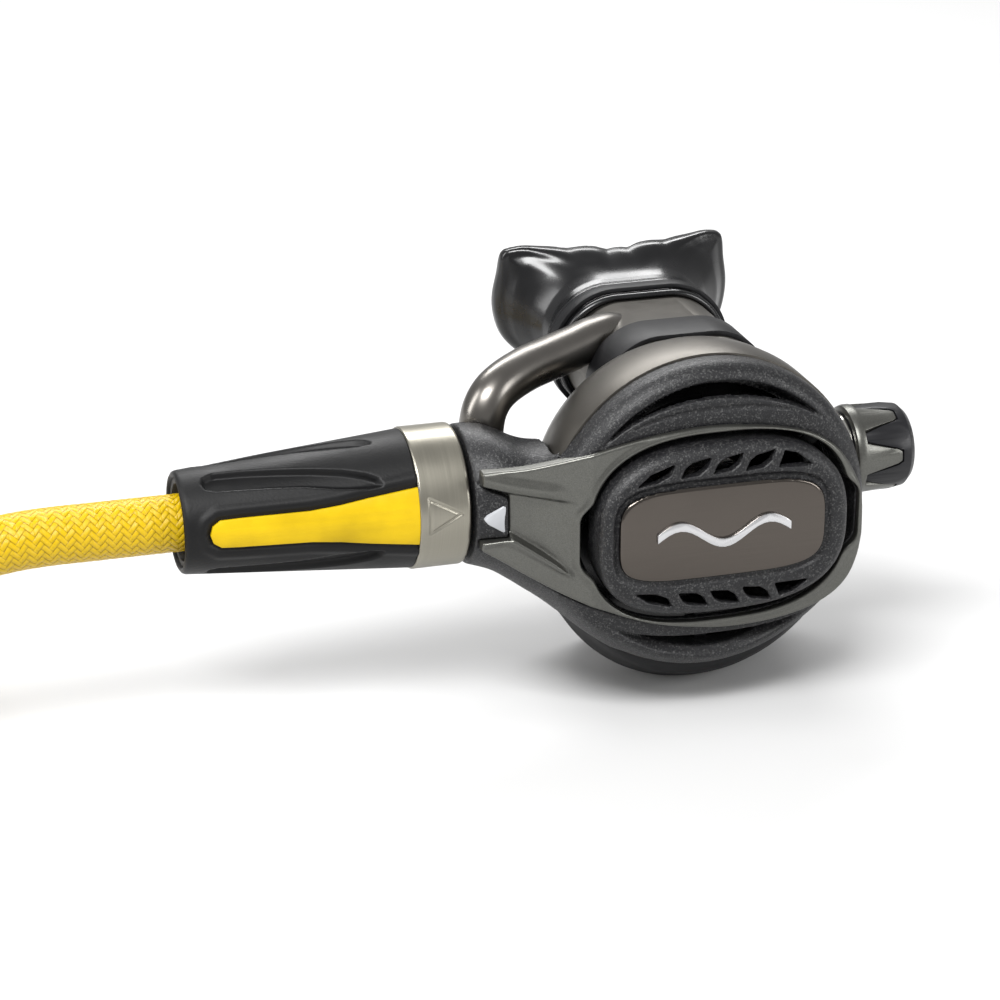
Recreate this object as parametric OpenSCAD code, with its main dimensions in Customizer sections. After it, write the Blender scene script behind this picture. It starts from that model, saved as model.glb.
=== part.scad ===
// Adjustable second stage of a scuba regulator on its braided low-pressure hose.
// Units are millimetres. X runs along the inlet and valve axis toward the adjusting knob,
// Y runs back toward the mouthpiece, Z is up, and the foot of the exhaust tee stands on z = 0.

/* [Stance] */
// height of the valve axis above the foot
axis_h = 56; // [54:1:62]
// how far the round body sits below the valve axis
body_drop = 4.5; // [3:0.5:6]

/* [Body] */
// outside radius of the round front cover
cover_r = 40; // [39.5:0.25:40.5]
// depth of the metal bowl behind the seam
bowl_d = 35.6; // [35:0.2:36]
// wall of the bowl
wall = 2.5; // [2:0.25:3]
// where the seam between cover and bowl lies
seam_y = -17.8; // [-18:0.1:-17.6]

/* [Mouthpiece] */
// width of the oval mouthpiece tube
tube_w = 42; // [40:1:44]
// height of the oval mouthpiece tube
tube_h = 29; // [27:1:30]
// sideways position of the tube
tube_x = 4; // [3:0.5:5]
// height of the tube above the valve axis
tube_z = 16.5; // [16:0.5:17]
// back end of the metal tube
tube_end = 52; // [50:1:54]
// width of the bite flange
flange_w = 65; // [60:1:68]

/* [Purge button] */
// half width of the button
btn_a = 31.6; // [31:0.2:32]
// half height of the button
btn_b = 22; // [21:0.5:22.5]
// travel of the button
btn_travel = 3.5; // [2:0.5:3.5]

/* [Selector] */
// outside radius of the metal selector ring
ring_r = 17.4; // [17:0.1:17.8]
// left and right faces of the ring
ring_x0 = -71.2; // [-72:0.2:-70]
ring_x1 = -58.5; // [-59:0.1:-58.3]
// open end of the grip sleeve
grip_x0 = -127; // [-130:1:-124]
// outside radius of the grip at its open end
grip_r0 = 12.4; // [12:0.1:13]
// bore of the liner at the open end
liner_r = 9.3; // [9:0.1:9.6]

/* [Knob] */
// radius of the knob collar
knob_r = 11.4; // [11.2:0.1:11.8]
// far end of the knob
knob_x1 = 60.1; // [59.8:0.1:61]

/* [Hose] */
// outside diameter of the braided hose
hose_d = 14; // [13:0.5:15]
// middle radius of the first turn of the coil
coil_r = 66; // [64:1:72]

/* [Hidden] */
$fn = 72;
eps = 0.01;
gap = 0.3;
fit = 0.05;

black = [0.09, 0.09, 0.1];
char = [0.22, 0.22, 0.24];
bronze = [0.36, 0.34, 0.31];
steel = [0.7, 0.69, 0.66];
yellow = [0.95, 0.8, 0.05];

// ---------- shared helpers ----------
module at_axis() {
  translate([0, 0, axis_h]) children();
}

// outline drawn as seen from the front, extruded from y0 back to y1
module front(y0, y1) {
  translate([0, y1, 0]) rotate([90, 0, 0]) linear_extrude(y1 - y0) children();
}

// outline drawn as seen from above, extruded from z0 to z1
module plan(z0, z1) {
  translate([0, 0, z0]) linear_extrude(z1 - z0) children();
}

// solid of revolution about the valve axis from [radius, x] points
module around_x(pts) {
  rotate([0, 90, 0]) rotate_extrude() polygon(pts);
}

// solid of revolution about an axis along Y from [radius, y] points
module around_y(pts) {
  rotate([90, 0, 0]) rotate_extrude() polygon([for (p = pts) [p[0], -p[1]]]);
}

module rod_x(x0, x1, r) {
  translate([x0, 0, 0]) rotate([0, 90, 0]) cylinder(h = x1 - x0, r = r);
}

module rod_y(y0, y1, r) {
  translate([0, y0, 0]) rotate([-90, 0, 0]) cylinder(h = y1 - y0, r = r);
}

module pipe_x(x0, x1, r, bore) {
  difference() {
    rod_x(x0, x1, r);
    rod_x(x0 - 1, x1 + 1, bore);
  }
}

module stadium(w, h) {
  for (s = [-1, 1]) translate([s * (w - h) / 2, 0]) circle(d = h);
  square([w - h, h], center = true);
}

module rounded(w, h, r) {
  square([w - 2 * r, h], center = true);
  square([w, h - 2 * r], center = true);
  for (sx = [-1, 1], sy = [-1, 1]) translate([sx * (w / 2 - r), sy * (h / 2 - r)]) circle(r);
}

function power(v, n) = sign(v) * pow(abs(v), 2 / n);
function oval(a, b, n, steps) = [for (i = [0 : steps - 1])
  let (t = 360 * (i + 0.5) / steps) [a * power(cos(t), n), b * power(sin(t), n)]];

// closed tube with k sides along a list of centre points, ends flat
function unit(v) = v / norm(v);
function along(p, i) = unit(p[min(i + 1, len(p) - 1)] - p[max(i - 1, 0)]);
module sweep(p, r, k) {
  n = len(p);
  rings = [for (i = [0 : n - 1])
    let (t = along(p, i), s = unit(cross([0.02, 0.01, 1], t)), u = cross(t, s))
    for (j = [0 : k - 1]) p[i] + r * (cos(360 * j / k) * s + sin(360 * j / k) * u)];
  sides = [for (i = [0 : n - 2], j = [0 : k - 1])
    let (a = i * k + j, b = i * k + (j + 1) % k) [b, a, a + k, b + k]];
  caps = [[for (j = [0 : k - 1]) j], [for (j = [k - 1 : -1 : 0]) (n - 1) * k + j]];
  polyhedron(rings, concat(sides, caps), convexity = 8);
}

module coil_spring(x0, x1, r, wire, turns) {
  per = 14;
  n = per * turns;
  sweep([for (i = [0 : n]) [r * cos(360 * i / per), r * sin(360 * i / per),
    x0 + (x1 - x0) * i / n]], wire, 6);
}

// ---------- body ----------
bowl_back = seam_y + bowl_d;
bowl_pts = [[0, bowl_back], [20, bowl_back], [27, bowl_back - 2.6], [32.6, bowl_back - 7],
  [37, bowl_back - 13.5], [39.6, bowl_back - 20], [40.5, bowl_back - 26], [40.5, seam_y]];
tube_in_w = tube_w - 6;
tube_in_h = tube_h - 6;
exhaust_z = -12.5;
barrel_r = 8;
barrel_in = 6;
barrel_x0 = -69;

module bowl_shape(grow) {
  translate([0, 0, -body_drop])
    around_y(concat([for (p = bowl_pts) [p[0] > 0 ? p[0] + grow : 0, p[1] + (p[1] > seam_y ? grow : 0)]],
      [[0, seam_y]]));
}

module exhaust_port() {
  difference() {
    circle(9);
    circle(2.4);
    for (a = [90, 210, 330]) rotate(a) translate([0, -0.8]) square([10, 1.6]);
  }
  circle(1.5);
}

module housing() {
  color(bronze) at_axis() difference() {
    union() {
      bowl_shape(0);
      translate([tube_x, 0, tube_z]) front(bowl_back - 14, tube_end) stadium(tube_w, tube_h);
      rod_x(-45, -37, 11);
      rod_x(37, 41.2, 11);
    }
    translate([0, 0, -body_drop]) around_y([[0, seam_y - 1], [38.6, seam_y - 1], [38.6, -15.6],
      [36.2, -15.6], [36.2, bowl_back - 21], [34, bowl_back - 14.5], [29.8, bowl_back - 8.4],
      [25, bowl_back - 4.8], [19, bowl_back - wall], [0, bowl_back - wall]]);
    translate([tube_x, 0, tube_z]) front(bowl_back - 8, tube_end + 1) stadium(tube_in_w, tube_in_h);
    rod_x(-46, 46, barrel_r + fit);
    translate([0, 0, exhaust_z]) front(bowl_back - 6, bowl_back + 1) exhaust_port();
    translate([tube_x - tube_w / 2 - 2, 30, tube_z + 5]) rod_x(0, 8, 4);
  }
}

module valve_barrel() {
  color(steel) at_axis() difference() {
    pipe_x(barrel_x0, 41, barrel_r, barrel_in);
    translate([lever_x, -8.8, 0]) cube([12, 9.6, 9.6], center = true);
    translate([-16, 0, 0]) rod_y(2, 10, 3);
  }
}

// ---------- front cover ----------
open_a = 33;
open_b = 24.2;
open_x = 0.9;
open_z = -5;
module opening() {
  translate([open_x, open_z]) polygon(oval(open_a, open_b, 2.7, 56));
  translate([open_x + 0.2, open_z - 0.5]) rounded(70.6, 17.5, 4);
}

module band_outline() {
  translate([open_x, -body_drop - 0.6]) polygon(oval(39.4, 29, 2.5, 56));
}

wing_back = 2;
module wing_shape(r, reach) {
  hull() {
    rod_x(-57.6, -55.5, r);
    translate([-30, -8, -7]) rod_x(0, reach, r);
    translate([-30, -6, -1]) rod_x(0, reach, 11);
  }
}

// seat of the trim frame where its left arms slope back
trim_plane = [[-31.6, -26], [-58, -17.6], [-70, -17.6], [-70, -40], [-31.6, -40]];
module trim_seat() {
  intersection() {
    front(-40, -10) polygon(trim_pts);
    plan(-60, 60) polygon(trim_plane);
  }
}

pointer_pts = [[-56.2, 0.1], [-55.4, -0.9], [-51.6, -3.4], [-51, -3.1], [-51, 3.1], [-51.6, 3.4],
  [-55.4, 1.1]];

module front_cover() {
  color(char) at_axis() difference() {
    union() {
      translate([0, 0, -body_drop]) around_y([[0, seam_y], [cover_r, seam_y], [cover_r, -20],
        [cover_r - 1, -22.6], [cover_r - 2.4, -24.8], [cover_r - 3.8, -26], [0, -26]]);
      intersection() {
        wing_shape(17.2, 4);
        translate([-70, -30, -40]) cube([60, 30 + wing_back, 80]);
      }
    }
    front(-30, -10) opening();
    translate([0, 0, -body_drop]) rod_y(-24, seam_y + 1, 33.6);
    front(-30, -21.4) difference() {
      translate([0, -body_drop]) circle(34.6);
      band_outline();
    }
    bowl_shape(0.2);
    rod_x(-60, -20, barrel_r + fit);
    rod_x(-45.2, -20, 11.2);
    translate([0, 0, -body_drop]) rod_y(seam_y + 0.2, 30, 41);
    sweep(bypass_pts, bypass_r + gap, 24);
    trim_seat();
    front(-30, -17.4) polygon(pointer_pts);
  }
}

trim_t = 1.8;
trim_pts = [[-56.6, 12], [-50, 12.6], [-45, 13.4], [-38.5, 15], [-29.5, 17.3], [-17, 19.7],
  [-4.5, 20.9], [5.7, 20.4], [16, 18.9], [24, 16.6], [30.4, 12.4], [34.8, 6.5], [37.4, -0.3],
  [38, -8], [37.6, -15], [35.2, -21.9], [30.6, -26.7], [23, -30.1], [12.5, -31.9], [-0.5, -31.9],
  [-13.6, -29.4], [-24, -25.8], [-36, -20.4], [-45.5, -15], [-52.5, -10.6], [-56.6, -8.2],
  [-56.8, -5.8], [-50.2, -4.8], [-50.2, 5.4], [-56.6, 8.2]];
module trim_frame() {
  color(bronze) at_axis() intersection() {
    front(-30, -15) difference() {
      polygon(trim_pts);
      opening();
    }
    plan(-40, 30) polygon([[-58, -17.6], [-58, -17.6 - trim_t], [-32, -26 - trim_t],
      [40, -26 - trim_t], [40, -26], [-31.6, -26]]);
  }
}

module pointer_mark() {
  color([0.88, 0.88, 0.9]) at_axis() front(-20.4, -17.4) polygon(pointer_pts);
}

module inlet_arm() {
  color(black) at_axis() difference() {
    intersection() {
      wing_shape(16.8, 4);
      translate([-70, wing_back, -40]) cube([60, 30, 80]);
    }
    bowl_shape(0.2);
    rod_x(-60, -20, barrel_r + fit);
    rod_x(-45.2, -20, 11.2);
    sweep(bypass_pts, bypass_r, 24);
  }
}

// ---------- bypass tube ----------
bypass_r = 5.6;
bypass_pts = [[-49.4, 7, 9.5], [-49.2, 7, 13.8], [-48.2, 7.3, 18], [-45.7, 8.7, 21.2],
  [-41.6, 11.2, 23.2], [-35.4, 15, 24.5], [-28.6, 19, 25], [-21.6, 23, 25.5], [-14.4, 27, 26.2],
  [-7.7, 30.6, 26.6]];
module bypass_tube() {
  color(bronze) at_axis() difference() {
    sweep(bypass_pts, bypass_r, 24);
    translate([tube_x, 0, tube_z]) front(0, tube_end + 1) stadium(tube_w + 0.02, tube_h + 0.02);
  }
}

module label_band() {
  color(black) at_axis() difference() {
    intersection() {
      translate([tube_x, 0, tube_z]) front(8, 20.5) stadium(tube_w + 2.4, tube_h + 2.4);
      translate([-22, 5, tube_z + 2]) cube([52, 30, 20]);
    }
    translate([tube_x, 0, tube_z]) front(0, 60) stadium(tube_w, tube_h);
    bowl_shape(0.1);
    sweep(bypass_pts, bypass_r + 0.1, 24);
  }
}

// ---------- mouthpiece ----------
mp_x = tube_x;
mp_z = tube_z + 4.5;
module bite_flange() {
  // curved around the teeth, thicker at the bite pads
  translate([mp_x, 0, mp_z]) intersection() {
    plan(-15, 16.5) difference() {
      translate([0, 118]) circle(r = 56, $fn = 96);
      translate([0, 119.4]) circle(r = 53.4, $fn = 96);
      translate([-60, 84]) square([120, 100]);
    }
    front(50, 90) rounded(flange_w, 27, 11);
  }
}

module bite_pad(s) {
  translate([mp_x + s * 22, 73, mp_z]) rotate([0, 0, s * -16]) translate([-6, 0, -2.6]) cube([12, 14, 5.2]);
}

module mouthpiece() {
  color(black) at_axis() difference() {
    union() {
      translate([tube_x, 0, tube_z]) front(40, 50) stadium(tube_w + 4, tube_h + 3);
      hull() {
        translate([tube_x, 0, tube_z]) front(49, 50) stadium(tube_w + 4, tube_h + 3);
        translate([tube_x, 0, mp_z]) front(62, 65) stadium(tube_w - 4, tube_h - 5);
      }
      bite_flange();
      for (s = [-1, 1]) bite_pad(s);
    }
    translate([tube_x, 0, tube_z]) front(39, tube_end) stadium(tube_w, tube_h);
    hull() {
      translate([tube_x, 0, tube_z]) front(tube_end - 1, tube_end) stadium(tube_w - 2, tube_h - 2);
      translate([tube_x, 0, mp_z]) front(62, 74) stadium(tube_w - 10, tube_h - 10);
    }
  }
}

module mouthpiece_clamp() {
  color(black) at_axis() translate([tube_x, 0, tube_z]) {
    front(42.5, 46.5) difference() {
      stadium(tube_w + 6.4, tube_h + 5.4);
      stadium(tube_w + 4, tube_h + 3);
    }
    translate([0, 44.5, -(tube_h + 5.4) / 2 - 1]) cube([7, 6, 3], center = true);
  }
}

// ---------- exhaust ----------
tee_x = 5;
tee_pts = [for (i = [0 : 32]) let (t = 194 + 4.75 * i) [tee_x + 41.5 * cos(t), -14 + 43 * sin(t)]];
module exhaust_tee() {
  color(black) at_axis() difference() {
    union() {
      front(-1, 31) intersection() {
        polygon(tee_pts);
        translate([-60, -axis_h]) square([120, 100]);
      }
      intersection() {
        translate([tee_x, 0, -14]) around_y([[0, -15], [36, -15], [40, -6], [41.4, -0.9], [0, -0.9]]);
        translate([-60, -20, -100]) cube([120, 40, 75.4]);
      }
      translate([tube_x, 0, 0]) front(20, 34) translate([0, -18]) rounded(tube_w + 10, 58, 12);
    }
    bowl_shape(0.1);
    translate([tube_x, 0, tube_z]) front(0, 60) stadium(tube_w + 0.6, tube_h + 0.6);
    translate([0, 0, exhaust_z]) rod_y(bowl_back, 29, 13);
    translate([-13, bowl_back + 0.5, -38]) cube([26, 10.5, 26]);
    translate([-60, 18.5, -36]) rotate([0, 90, 0]) linear_extrude(120) rounded(20, 19, 5);
  }
}

module exhaust_valve() {
  color([0.8, 0.8, 0.8]) at_axis() translate([0, 0, exhaust_z]) {
    rod_y(bowl_back + 0.02, bowl_back + 0.9, 11);
    rod_y(bowl_back - 5, bowl_back + 0.1, 1.45);
  }
}

// ---------- diaphragm and demand valve ----------
spider_back = -17;
module cover_ring() {
  color(black) at_axis() translate([0, 0, -body_drop]) {
    around_y([[33.9, seam_y], [38.2, seam_y], [38.2, -16.4], [33.9, -16.4]]);
    front(seam_y, spider_back) {
      for (a = [30, 150, 270]) rotate(a) translate([8, -1.6]) square([27, 3.2]);
      difference() {
        circle(9.4);
        circle(boss_r + 0.4);
      }
    }
  }
}

module diaphragm() {
  color([0.75, 0.75, 0.75]) at_axis() translate([0, 0, -body_drop])
    around_y([[38.2, -16.35], [38.2, -15.65], [33, -15.65], [31.5, -13.4], [29, -13.4], [27.5, -15.4],
      [14.3, -15.4], [14.3, -16.2], [27, -16.2], [28.6, -14.2], [31.9, -14.2], [33.4, -16.35]]);
}

module diaphragm_disc() {
  color(steel) at_axis() translate([0, 0, -body_drop]) difference() {
    rod_y(-16.6, -15.2, 14);
    rod_y(-17, -16.2, 9);
  }
}

lever_x = 14;
lever_y = -9.6;
module demand_lever() {
  color(steel) at_axis() difference() {
    union() {
      translate([0, 0, -4.5]) plan(0, 3) polygon([[lever_x + 2.6, lever_y - 1.4],
        [lever_x - 2, lever_y - 1.8], [-5, -14.9], [-7, -14.9], [-6.8, -14], [-2, -13.2],
        [lever_x - 3, lever_y + 1.2], [lever_x - 1.2, lever_y + 5], [lever_x + 1.2, lever_y + 5],
        [lever_x + 2.6, lever_y + 1]]);
      translate([lever_x, lever_y, -4.5]) cylinder(h = 9, r = 1.8);
    }
    translate([lever_x, lever_y, -8]) cylinder(h = 20, r = 0.85);
  }
}

module lever_pin() {
  color(steel) at_axis() {
    translate([lever_x, lever_y, -6.6]) cylinder(h = 13.2, r = 0.8);
    for (s = [-1, 1]) translate([lever_x - 1.6, lever_y - 1.6, s * 5.8 - 0.8]) cube([3.2, 5.4, 1.6]);
  }
}

orifice_x = -27;
module orifice() {
  color(steel) at_axis() difference() {
    rod_x(-40, orifice_x, barrel_in - fit);
    rod_x(-41, -28.5, 3.6);
    rod_x(-29, -26, 2);
  }
}

module poppet_seat() {
  color(black) at_axis() rod_x(-26.9, -25.4, 3.4);
}

collar_x = 15.4;
module poppet() {
  color([0.9, 0.9, 0.88]) at_axis() {
    rod_x(-25.4, -20, 4.6);
    rod_x(-20, 24, 2.6);
    rod_x(collar_x, collar_x + 1.6, 4.6);
  }
}

spring_x0 = 17.6;
spring_x1 = 26.4;
module poppet_spring() {
  color(steel) at_axis() rotate([0, 90, 0]) coil_spring(spring_x0, spring_x1, 4.2, 0.55, 4);
}

piston_x0 = 27;
module balance_piston() {
  color(steel) at_axis() difference() {
    union() {
      rod_x(piston_x0, 34, barrel_in - 2 * fit);
      rod_x(33, 42.5, 3.9);
      rod_x(42, 47, 2.4);
    }
    rod_x(piston_x0 - 1, 30, 2.8);
    difference() {
      rod_x(30.6, 32.6, 7);
      rod_x(30, 33, 4.4);
    }
  }
}

module balance_oring() {
  color(black) at_axis() pipe_x(30.8, 32.4, barrel_in - 0.01, 4.42);
}

module knob_oring() {
  color(black) at_axis() pipe_x(36.4, 38, barrel_in - 0.01, 3.95);
}

module knob_nut() {
  color(steel) at_axis() difference() {
    union() {
      rod_x(38.4, 41.3, barrel_in - fit);
      rod_x(41.25, 43, 9.5);
    }
    rod_x(36, 44, 3.95);
  }
}

// ---------- knob ----------
knob_turn = -5;
// outline of one tapered finger, g larger on every side
module finger_outline(g) {
  polygon([[45.3, -4.3 - g], [47.5, -3.6 - g], [54.4, -1.8 - g], [55.4 + g, -1.1 - g],
    [55.4 + g, 1.1 + g], [54.4, 1.8 + g], [47.5, 3.6 + g], [45.3, 4.3 + g]]);
}

module finger_cut(r0, r1, grow) {
  intersection() {
    front(-14, 0) finger_outline(grow);
    around_x([[r0, 45], [r0, 58], [r1 - 0.7, 58], [r1 - 0.1, 45]]);
  }
}

module knob_collar() {
  color(bronze) at_axis() rotate([knob_turn, 0, 0]) {
    around_x([[9.85, 43.3], [knob_r - 1.4, 43.3], [knob_r - 0.3, 43.7], [knob_r, 44.6],
      [knob_r, 46], [9.85, 46]]);
    for (i = [0 : 5]) rotate([60 * i, 0, 0]) finger_cut(9.95, knob_r, 0);
  }
}

module knob_grip() {
  color(char) at_axis() rotate([knob_turn, 0, 0]) difference() {
    around_x([[3.2, 43.4], [9.75, 43.4], [9.75, 46.2], [11.1, 46.2], [11, 54.6], [10.5, 58],
      [9.2, 59.4], [7, knob_x1], [3.2, knob_x1]]);
    for (i = [0 : 5]) rotate([60 * i, 0, 0]) finger_cut(9.85, 14, 0.45);
    for (i = [0 : 5]) rotate([60 * i + 30, 0, 0]) translate([55, -28.85, 0])
      rotate([0, 90, 0]) cylinder(h = 24, r = 18.3, center = true);
    rod_x(57.9, 70, 5);
  }
}

module knob_screw() {
  color(steel) at_axis() difference() {
    union() {
      rod_x(47.2, 58.5, 3.15);
      rod_x(58, 59.5, 4.8);
    }
    translate([59.3, 0, 0]) cube([1.6, 7, 1.2], center = true);
  }
}

// ---------- purge button ----------
btn_z = -4.6;
boss_r = 5;
boss_y = -16.9;
btn_x = 0.5;
module slot_top(k) {
  translate([-11 + 8.2 * k, 10.6 + (k == 0 ? -0.3 : 0)])
    polygon([[0, 0], [1.2, 2.2], [2.8, 3.3], [7.6, 4.2], [6.4, 1.9], [4.4, 0.5]]);
}

module slots() {
  for (k = [0 : 2]) slot_top(k);
  polygon([[-22, 9.2], [-18.6, 11.8], [-12.6, 13.7], [-13.8, 11.4], [-17, 9.8]]);
  polygon([[13.8, 10.6], [15.4, 14.2], [18.6, 13.4], [22.2, 10.4]]);
}

module purge_button() {
  color(char) at_axis() difference() {
    intersection() {
      front(-34, -22.4) translate([btn_x, btn_z]) polygon(oval(btn_a, btn_b, 2.7, 60));
      translate([btn_x, 68, btn_z]) rotate([0, 90, 0]) cylinder(h = 90, r = 101.4, center = true, $fn = 180);
    }
    difference() {
      front(-29.6, -20) translate([btn_x, btn_z]) polygon(oval(btn_a - 2, btn_b - 2, 2.7, 60));
      translate([0, 0, -body_drop]) rod_y(-32, -21, boss_r);
    }
    front(-40, -20) slots();
    front(-40, -20) mirror([0, 1, 0]) translate([0, -2 * btn_z]) slots();
    front(-40, -32.2) plate_outline();
  }
  color(char) at_axis() translate([0, 0, -body_drop]) difference() {
    rod_y(-29.7, boss_y, boss_r);
    rod_y(-29, -10, boss_r - 2);
  }
}

plate_x = -0.4;
plate_z = -3.9;
module plate_outline() {
  translate([plate_x, plate_z]) polygon(oval(26.8, 12.6, 4.2, 60));
}

module purge_plate() {
  color(steel) at_axis() intersection() {
    front(-34, -32.2) translate([plate_x, plate_z]) polygon(oval(26.4, 12.2, 4.2, 60));
    translate([btn_x, 68, btn_z]) rotate([0, 90, 0]) cylinder(h = 90, r = 101.5, center = true, $fn = 180);
  }
}

// a plain wave line raised on the plate
module purge_badge() {
  wave = [for (i = [0 : 24]) let (x = -17 + 34 * i / 24) [x, 2.6 * sin(540 * (x + 17) / 34)]];
  color([0.9, 0.9, 0.9]) at_axis() front(-34.2, -33.2) translate([plate_x, plate_z])
    polygon(concat([for (p = wave) p + [0, 1.1]], [for (i = [24 : -1 : 0]) wave[i] - [0, 1.1]]));
}

module purge_spring() {
  color(steel) at_axis() translate([0, 0, -body_drop]) rotate([-90, 0, 0])
    coil_spring(-29.05, seam_y - 0.55, 7.2, 0.5, 4);
}

// ---------- selector ----------
inlet_r = 6.4;
module inlet_tube() {
  color(steel) at_axis() difference() {
    rod_x(-92, barrel_x0, inlet_r);
    rod_x(-93, -60, 4);
  }
}

journal_r = 13.9;
module journal() {
  color(black) at_axis() pipe_x(-69.8, -57.7, journal_r, barrel_r + fit);
}

module selector_ring() {
  color(steel) at_axis() around_x([[liner_r, ring_x0], [ring_r - 0.6, ring_x0], [ring_r, ring_x0 + 0.6],
    [ring_r, ring_x1 - 1], [ring_r - 1, ring_x1], [journal_r + fit, ring_x1], [journal_r + fit, -69.95],
    [liner_r, -69.95]]);
}

grip_r1 = 17;
function grip_r(x) = grip_r0 + (grip_r1 - grip_r0) * (x - grip_x0) / (ring_x0 - grip_x0);
inlay_pts = [[-121, 0], [-120.4, 2], [-118.5, 3.3], [-114, 3.5], [-97, 3.8], [-90, 4.5], [-83, 5.6],
  [ring_x0, 7.1], [ring_x0, -7.1], [-83, -5.6], [-90, -4.5], [-97, -3.8], [-114, -3.5],
  [-118.5, -3.3], [-120.4, -2]];
inlay_t = 1;
// the cone layer under the front outline, proud of the grip by "over"
module inlay_shell(over, right) {
  slope = (grip_r1 - grip_r0) / (ring_x0 - grip_x0);
  intersection() {
    front(-24, 0) polygon([for (p = inlay_pts) [p[0] >= ring_x0 ? p[0] + right : p[0], p[1]]]);
    around_x([[grip_r0 - inlay_t, grip_x0], [grip_r0 + over, grip_x0],
      [grip_r1 + over + slope * 2, ring_x0 + 2], [grip_r1 - inlay_t + slope * 2, ring_x0 + 2]]);
  }
}

// shallow long pocket with rounded ends that gives the fingers a hold
flute_d = 0.5;
module flute() {
  intersection() {
    front(-24, 0) polygon([[-116, 0], [-115.2, 1.6], [-113.4, 2.3], [-80, 4.2], [-77.6, 3.2],
      [-76.8, 0], [-77.6, -3.2], [-80, -4.2], [-113.4, -2.3], [-115.2, -1.6]]);
    around_x([[grip_r(-120) - flute_d, -120], [20, -120], [20, -74], [grip_r(-74) - flute_d, -74]]);
  }
}

// the selector is set with its inlay a little above the front
selector_set = -4.5;
module selector_grip() {
  color(black) at_axis() rotate([selector_set, 0, 0]) difference() {
    around_x([[10.8, grip_x0 + 0.5], [grip_r0 - 0.9, grip_x0], [grip_r0, grip_x0 + 1.2],
      [grip_r1, ring_x0], [10.8, ring_x0]]);
    inlay_shell(3, 1);
    for (a = [59, 107, 155], s = [-1, 1]) rotate([s * a, 0, 0]) flute();
  }
}

module selector_liner() {
  color(black) at_axis() pipe_x(grip_x0 + 0.8, ring_x0, 10.8, liner_r);
}

module selector_inlay() {
  color(yellow) at_axis() rotate([selector_set, 0, 0]) inlay_shell(0.1, 0);
}

// ---------- hose ----------
hose_r = hose_d / 2;
module hexagon_x(x0, x1, across) {
  translate([x0, 0, 0]) rotate([0, 90, 0]) cylinder(h = x1 - x0, d = across / cos(30), $fn = 6);
}

module hose_nut() {
  color(steel) at_axis() difference() {
    hexagon_x(-100, -92.02, 15);
    rod_x(-101, -90, 4);
  }
}

module hose_ferrule() {
  color(steel) at_axis() difference() {
    rod_x(-114, -100.02, hose_r + 0.9);
    rod_x(-115, -103, hose_r - eps);
    rod_x(-104, -99, 3);
  }
}

coil_x = -262;
spiral_end = 455;
step = hose_d / 360;
land = 18;
drop_r = 90;
drop_h = axis_h - hose_r;
drop_len = sqrt(drop_r * drop_h - drop_h * drop_h / 4);
function drop_z(d) = d <= 0 ? 0
  : d < drop_len ? drop_r - sqrt(drop_r * drop_r - d * d)
  : d < 2 * drop_len ? drop_h - (drop_r - sqrt(drop_r * drop_r - pow(2 * drop_len - d, 2)))
  : drop_h;
drop_x = coil_x + 2 * drop_len - land;
function lead(x) = [x, 0, axis_h - drop_z(drop_x - x)];
function spiral(t) = let (r = coil_r + t * step)
  [coil_x - r * sin(t), coil_r - r * cos(t), axis_h - drop_z(drop_x - coil_x + coil_r * t * PI / 180)];
lead_pts = concat([for (x = [-103 : -9 : -256]) lead(x)], [for (t = [0 : 5 : 30]) spiral(t)]);
module hose() {
  color(yellow) sweep(lead_pts, hose_r, 12);
}

module hose_coil() {
  color(yellow) translate([coil_x, coil_r, hose_r]) rotate_extrude() {
    for (s = [0, 1]) translate([coil_r + s * hose_d, 0]) circle(hose_r, $fn = 24);
    translate([coil_r, -hose_r]) square([hose_d, hose_d]);
  }
}

// the far end leaves the outer turn along its tangent
tail_r = coil_r + spiral_end * step;
tail_t = spiral_end - 360;
tail_len = 42;
module at_tail() {
  translate([coil_x - tail_r * sin(tail_t), coil_r - tail_r * cos(tail_t), hose_r])
    rotate([0, 0, 180 - tail_t]) children();
}

module end_ferrule() {
  color(steel) at_tail() difference() {
    rod_x(tail_len - 11, tail_len + 6, hose_r - eps);
    rod_x(tail_len - 12, tail_len + 2, hose_r - 0.9);
    rod_x(tail_len, tail_len + 7, 2.4);
  }
}

module end_fitting() {
  color(steel) at_tail() difference() {
    union() {
      intersection() {
        hexagon_x(tail_len + 6.02, tail_len + 15, 15);
        cube([400, 400, 2 * hose_r], center = true);
      }
      rod_x(tail_len + 15, tail_len + 17, 3.9);
      rod_x(tail_len + 17, tail_len + 25, 4.76);
    }
    rod_x(tail_len + 5, tail_len + 26, 2.4);
  }
}

module end_oring() {
  color(black) at_tail() pipe_x(tail_len + 15.05, tail_len + 16.9, 5.4, 3.92);
}

// ---------- assembly ----------
housing();
valve_barrel();
front_cover();
trim_frame();
pointer_mark();
inlet_arm();
bypass_tube();
label_band();
mouthpiece();
mouthpiece_clamp();
exhaust_tee();
exhaust_valve();
cover_ring();
diaphragm();
diaphragm_disc();
demand_lever();
lever_pin();
poppet();
poppet_seat();
poppet_spring();
orifice();
balance_piston();
balance_oring();
knob_oring();
knob_nut();
knob_collar();
knob_grip();
knob_screw();
purge_button();
purge_plate();
purge_badge();
purge_spring();
inlet_tube();
journal();
selector_ring();
selector_grip();
selector_liner();
selector_inlay();
hose_nut();
hose_ferrule();
hose();
hose_coil();
end_ferrule();
end_fitting();
end_oring();
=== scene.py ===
import math

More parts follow.
